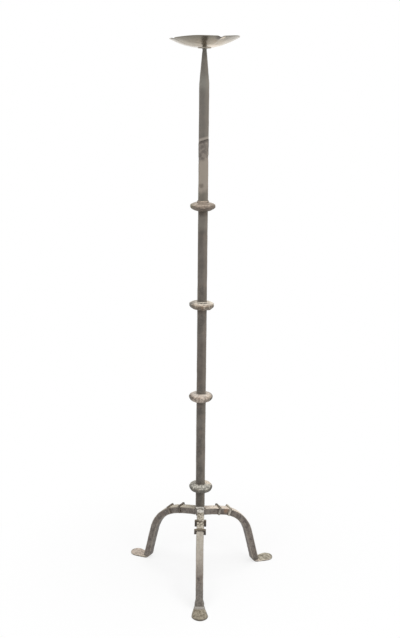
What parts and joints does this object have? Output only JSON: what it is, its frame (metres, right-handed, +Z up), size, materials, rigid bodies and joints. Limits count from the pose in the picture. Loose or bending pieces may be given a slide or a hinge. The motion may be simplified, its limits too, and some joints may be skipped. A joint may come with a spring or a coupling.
{
  "type": "candle stand",
  "caption": "Tall forged iron floor candle stand: square tapering stem with collars, a notched drip pan with a pricket, and a tripod of bent legs with bands and fan-shaped feet.",
  "frame": {"origin": "on the floor, under the axis of the stem", "axes": "+Z up along the stem; the front leg points to -Y, the right leg mostly to +X and the left leg mostly to -X"},
  "size_m": [0.4311, 0.3787, 1.504],
  "materials": {
    "stem_iron": "forged and waxed, dark brown-grey, worn paler in patches",
    "collar_iron": "hammered, pitted, brown-grey with pale worn crowns",
    "leg_iron": "hammered, grey, worn to bright grey on the upper faces",
    "band_iron": "dark forged wire, worn on the edges",
    "pan_iron": "thin beaten sheet, smooth waxed underside",
    "joint_iron": "forged, dark"
  },
  "bodies": {
    "root": {"stem_upper": "stem_iron", "stem_lower": "stem_iron", "knop_1": "collar_iron", "knop_2": "collar_iron", "knop_3": "collar_iron", "knop_4": "collar_iron", "leg_front": "leg_iron", "leg_left": "leg_iron", "leg_right": "leg_iron", "base_washer": "joint_iron", "band_front_inner": "band_iron", "band_front_outer": "band_iron", "band_left_inner": "band_iron", "band_left_outer": "band_iron", "band_right_inner": "band_iron", "band_right_outer": "band_iron", "drip_pan": "pan_iron", "pan_washer": "joint_iron", "pricket": "joint_iron"}
  },
  "joints": []
}
